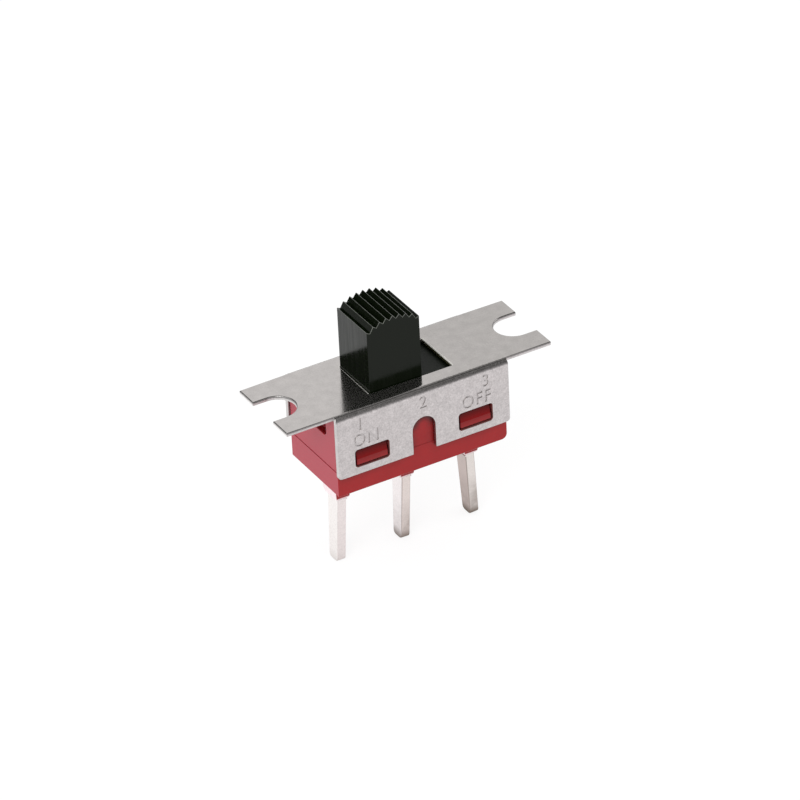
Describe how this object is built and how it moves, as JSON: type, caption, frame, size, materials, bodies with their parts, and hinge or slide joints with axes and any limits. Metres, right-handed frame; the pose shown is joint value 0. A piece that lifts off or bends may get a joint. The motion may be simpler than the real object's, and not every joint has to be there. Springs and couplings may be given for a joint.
{
  "type": "slide switch",
  "caption": "Single-pole slide switch with a ridged knob, a red case held in a folded steel bracket with open end notches, and blade terminals.",
  "frame": {"origin": "middle of the bracket's upper face, in the centre of the knob's window, where the bracket seats under the panel", "axes": "+X along the bracket, the way the knob slides; +Y across it; +Z out of the panel, towards the knob"},
  "size_m": [0.0198, 0.0068, 0.0183],
  "materials": {
    "bracket_steel": "satin rolled stainless sheet",
    "case_red": "moulded, slightly glossy",
    "slider_black": "moulded, glossy",
    "terminal_tin": "dull tin plating",
    "contact_silver": "bright silver",
    "rocker_brass": "rolled strip",
    "plunger_nylon": "natural nylon",
    "spring_steel": "drawn wire"
  },
  "bodies": {
    "housing": {"bracket": "bracket_steel", "case": "case_red", "left_terminal": "terminal_tin", "centre_terminal": "terminal_tin", "right_terminal": "terminal_tin", "left_fixed_contact": "contact_silver", "right_fixed_contact": "contact_silver"},
    "slider": {"slider": "slider_black", "plunger_spring": "spring_steel"},
    "plunger": {"plunger": "plunger_nylon"},
    "rocker": {"rocker": "rocker_brass", "left_moving_contact": "contact_silver", "right_moving_contact": "contact_silver"}
  },
  "joints": [
    {"name": "knob_slide", "type": "slide", "parent": "housing", "child": "slider", "axis": [1, 0, 0], "range_m": [0, 0.00224]},
    {"name": "plunger_press", "type": "slide", "parent": "slider", "child": "plunger", "axis": [0, 0, 1], "range_m": [0, 0.0003], "stiffness_N_per_m": 970, "springref_m": -0.001, "deforming": ["plunger_spring"]},
    {"name": "rocker_tip", "type": "hinge", "parent": "housing", "child": "rocker", "pos_m": [0, 0, -0.00441], "axis": [0, 1, 0], "range_deg": [0, 16]}
  ],
  "couplings": [
    {"joint": "rocker_tip", "follows": "knob_slide", "rad_per_m": 124.66}
  ]
}
